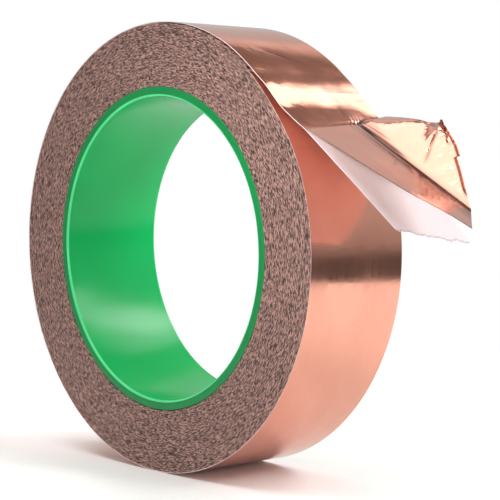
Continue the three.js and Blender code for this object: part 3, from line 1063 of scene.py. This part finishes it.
def liner_length(y):
    """From the peel line to the tear. The tear runs square across the tape, so the slant is taken out."""
    torn = TEAR * (1.8 * tear_noise(y, 4.0, 2.0) + 0.9 * tear_noise(y, 0.8, 7.0))
    torn = torn - TORN_SKEW * share_across(y)
    return peel_line(-HALF_WIDTH) + LINER_LENGTH + torn - peel_line(y)


def torn_edge_painted_shade(x, y):
    """The painted shade along the torn fibres."""
    to_end = liner_length(y) - (x - peel_line(y))
    return 0.8 * np.exp(-((to_end / 0.35) ** 2))


x, y = tail_grid(LINER_ROWS, LINER_COLUMNS, SEAM, liner_length, LINER_MARGIN)
# The torn edge of the liner gets painted shade.
peeled_liner = thin_sheet("peeled_liner_end", x, y, liner_surface, *layers["liner"], liner, handled_lift,
                          torn_edge_painted_shade)
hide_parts("peeled_liner")
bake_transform(peeled_liner)

# %% [markdown]
# ## The starter tab
#
# The double-sided tab that starts the first turn is hidden between the core and the winding. The CAD shape
# is right as it is, so it only gets a finish: off-white tissue with a slight gloss.

# %% Dress the starter tab
def tab_finish():
    finish = Finish("tab_tissue", IOR=1.45)
    fibres = finish.noise(finish.body_place(0.8), detail=4.0)
    tint = finish.colour(finish.spread(fibres, 0, 1), (0.80, 0.77, 0.68, 1), (0.68, 0.64, 0.55, 1))
    return finish.shade(Base_Color=tint, Roughness=finish.spread(fibres, 0.4, 0.6))


tab = frame["nodes"]["starter_tab"]
tab.data.materials.clear()
tab.data.materials.append(tab_finish())
print("starter tab dressed")

# %% [markdown]
# ## Floor, room and light
#
# Polished copper shows the room more than itself, so the room is part of the finish. A pale floor lights
# the lower half. The floor ends a hand's breadth behind the roll, and the darker edge of the table beyond
# it draws the dark line across the copper. In the copper the floor is shown a little darker than it is, so
# that the reflections keep their colour where the floor itself is nearly white. A soft grey wall and a
# darker, warm ceiling give the middle tones, and a pale strip between them draws a light line on the turn.
#
# The lamps are soft boxes, each for one thing. The one above and behind the roll makes the cream band on the
# lifted tape. The one beside it is seen in the bore, as the pale band low on the left. The key, front, left
# and top boxes light the whole roll. Last, a narrow soft spot reaches in under the peeled foil, where the
# paper liner would otherwise lie in its shade.

# %% Floor
FLOOR_REACH = 0.268
FLOOR_CORNERS = 96
FLOOR_IN_MIRROR = (0.81, 0.81, 0.82, 1)


def floor_finish():
    """Plain white paper, a little darker where it is seen in the copper."""
    finish = Finish("floor_white", Roughness=0.6, IOR=1.3)
    cloud = finish.noise(finish.body_place(60), detail=2.0)
    tint = finish.colour(finish.spread(cloud, 0, 1), (0.95, 0.95, 0.95, 1), (0.93, 0.93, 0.93, 1))
    in_mirror = finish.add("LightPath").outputs["Is Glossy Ray"]
    return finish.shade(Base_Color=finish.colour(in_mirror, tint, FLOOR_IN_MIRROR))


floor_mesh = bpy.data.meshes.new("floor")
turns = [TURN * i / FLOOR_CORNERS for i in range(FLOOR_CORNERS)]
rim = [(FLOOR_REACH * math.cos(turn), FLOOR_REACH * math.sin(turn), FLOOR_HEIGHT) for turn in turns]
floor_mesh.from_pydata(rim, [], [tuple(range(FLOOR_CORNERS))])
floor_mesh.materials.append(floor_finish())
floor = bpy.data.objects.new("floor", floor_mesh)
bpy.context.scene.collection.objects.link(floor)
print(f"floor {2 * FLOOR_REACH:.2f} m across")

# %% Room
LEFT_WALL, RIGHT_WALL = 1.0, 0.95
world = bpy.data.worlds.new("room")
bpy.context.scene.world = world
world.use_nodes = True
tree = world.node_tree
tree.nodes.clear()
direction = tree.nodes.new("ShaderNodeTexCoord")
split = tree.nodes.new("ShaderNodeSeparateXYZ")
tree.links.new(direction.outputs["Generated"], split.inputs[0])
half = tree.nodes.new("ShaderNodeMapRange")
half.inputs["From Min"].default_value = -1
tree.links.new(split.outputs["Z"], half.inputs["Value"])
ramp = tree.nodes.new("ShaderNodeValToRGB")
tree.links.new(half.outputs["Result"], ramp.inputs["Fac"])
TABLE_EDGE, WALL_LOW, WALL_HIGH = (0.13,) * 3, (0.42,) * 3, (0.60,) * 3
WALL_TOP = (0.96, 0.78, 0.72)
CEILING = (0.275, 0.225, 0.20)
# Each level has its height, from -1 straight down to 1 straight up, and its colour.
ROOM_LEVELS = (
    (-0.11, TABLE_EDGE),
    (-0.075, TABLE_EDGE),
    (0.0, WALL_LOW),
    (0.20, WALL_HIGH),
    (0.50, WALL_HIGH),
    (0.53, WALL_TOP),
    (0.575, WALL_TOP),
    (0.62, CEILING),
    (1.0, CEILING),
)
stops = ramp.color_ramp.elements
stops.remove(stops[1])
stops[0].color = (*TABLE_EDGE, 1)
for height, tone in ROOM_LEVELS:
    stops.new((height + 1) / 2).color = (*tone, 1)
side = tree.nodes.new("ShaderNodeMapRange")
side.inputs["From Min"].default_value = -1
side.inputs["To Min"].default_value = LEFT_WALL
side.inputs["To Max"].default_value = RIGHT_WALL
tree.links.new(split.outputs["X"], side.inputs["Value"])
around = tree.nodes.new("ShaderNodeBackground")
tree.links.new(ramp.outputs["Color"], around.inputs["Color"])
tree.links.new(side.outputs["Result"], around.inputs["Strength"])
backdrop = tree.nodes.new("ShaderNodeBackground")
backdrop.inputs["Color"].default_value = (1, 1, 1, 1)
path = tree.nodes.new("ShaderNodeLightPath")
choice = tree.nodes.new("ShaderNodeMixShader")
tree.links.new(path.outputs["Is Camera Ray"], choice.inputs["Fac"])
tree.links.new(around.outputs[0], choice.inputs[1])
tree.links.new(backdrop.outputs[0], choice.inputs[2])
output = tree.nodes.new("ShaderNodeOutputWorld")
tree.links.new(choice.outputs[0], output.inputs["Surface"])


# %% Lights
SPOT_CONE = math.radians(13)
SPOT_SOFTNESS = 0.8
SPOT_RADIUS = 0.04


def hang(name, lamp, place, aim):
    """Puts a lamp in the room, turned towards its aim and not seen itself."""
    holder = bpy.data.objects.new(name, lamp)
    holder.location = place
    holder.rotation_euler = (Vector(aim) - Vector(place)).to_track_quat("-Z", "Y").to_euler()
    holder.visible_camera = False
    bpy.context.scene.collection.objects.link(holder)
    print(f"{name}: {lamp.energy:.2f} W")


def soft_box(name, place, size, brightness, aim=(0, 0, 0)):
    """A rectangular lamp that looks as bright as brightness from anywhere in front of it."""
    lamp = bpy.data.lights.new(name, "AREA")
    lamp.shape = "RECTANGLE"
    lamp.size, lamp.size_y = size
    lamp.energy = brightness * size[0] * size[1] * math.pi
    hang(name, lamp, place, aim)


def soft_spot(name, place, power, aim):
    """A lamp with a narrow soft cone."""
    lamp = bpy.data.lights.new(name, "SPOT")
    lamp.energy = power
    lamp.spot_size = SPOT_CONE
    lamp.spot_blend = SPOT_SOFTNESS
    lamp.shadow_soft_size = SPOT_RADIUS
    hang(name, lamp, place, aim)


soft_box("back_box", (0.13, 0.42, 0.45), (0.32, 0.22), 2.8, aim=(0.045, 0, 0.035))
soft_box("bore_box", (0.21, 0.37, 0.39), (0.30, 0.13), 5.2, aim=(-0.033, 0, -0.02))
soft_box("left_box", (-0.35, 0.07, 0.72), (0.72, 0.45), 2.0)
soft_box("key_box", (0.80, 0.30, 0.75), (0.5, 0.5), 8.0)
soft_box("front_box", (0.64, -0.80, 0.09), (0.8, 0.26), 4.2)
soft_spot("liner_spot", (0.45, -0.42, 0.05), 15.0, aim=(0.055, -0.012, 0.041))
soft_box("top_box", (0.0, -0.30, 0.9), (0.8, 0.4), 4.2)
bpy.context.scene.view_settings.view_transform = "Standard"
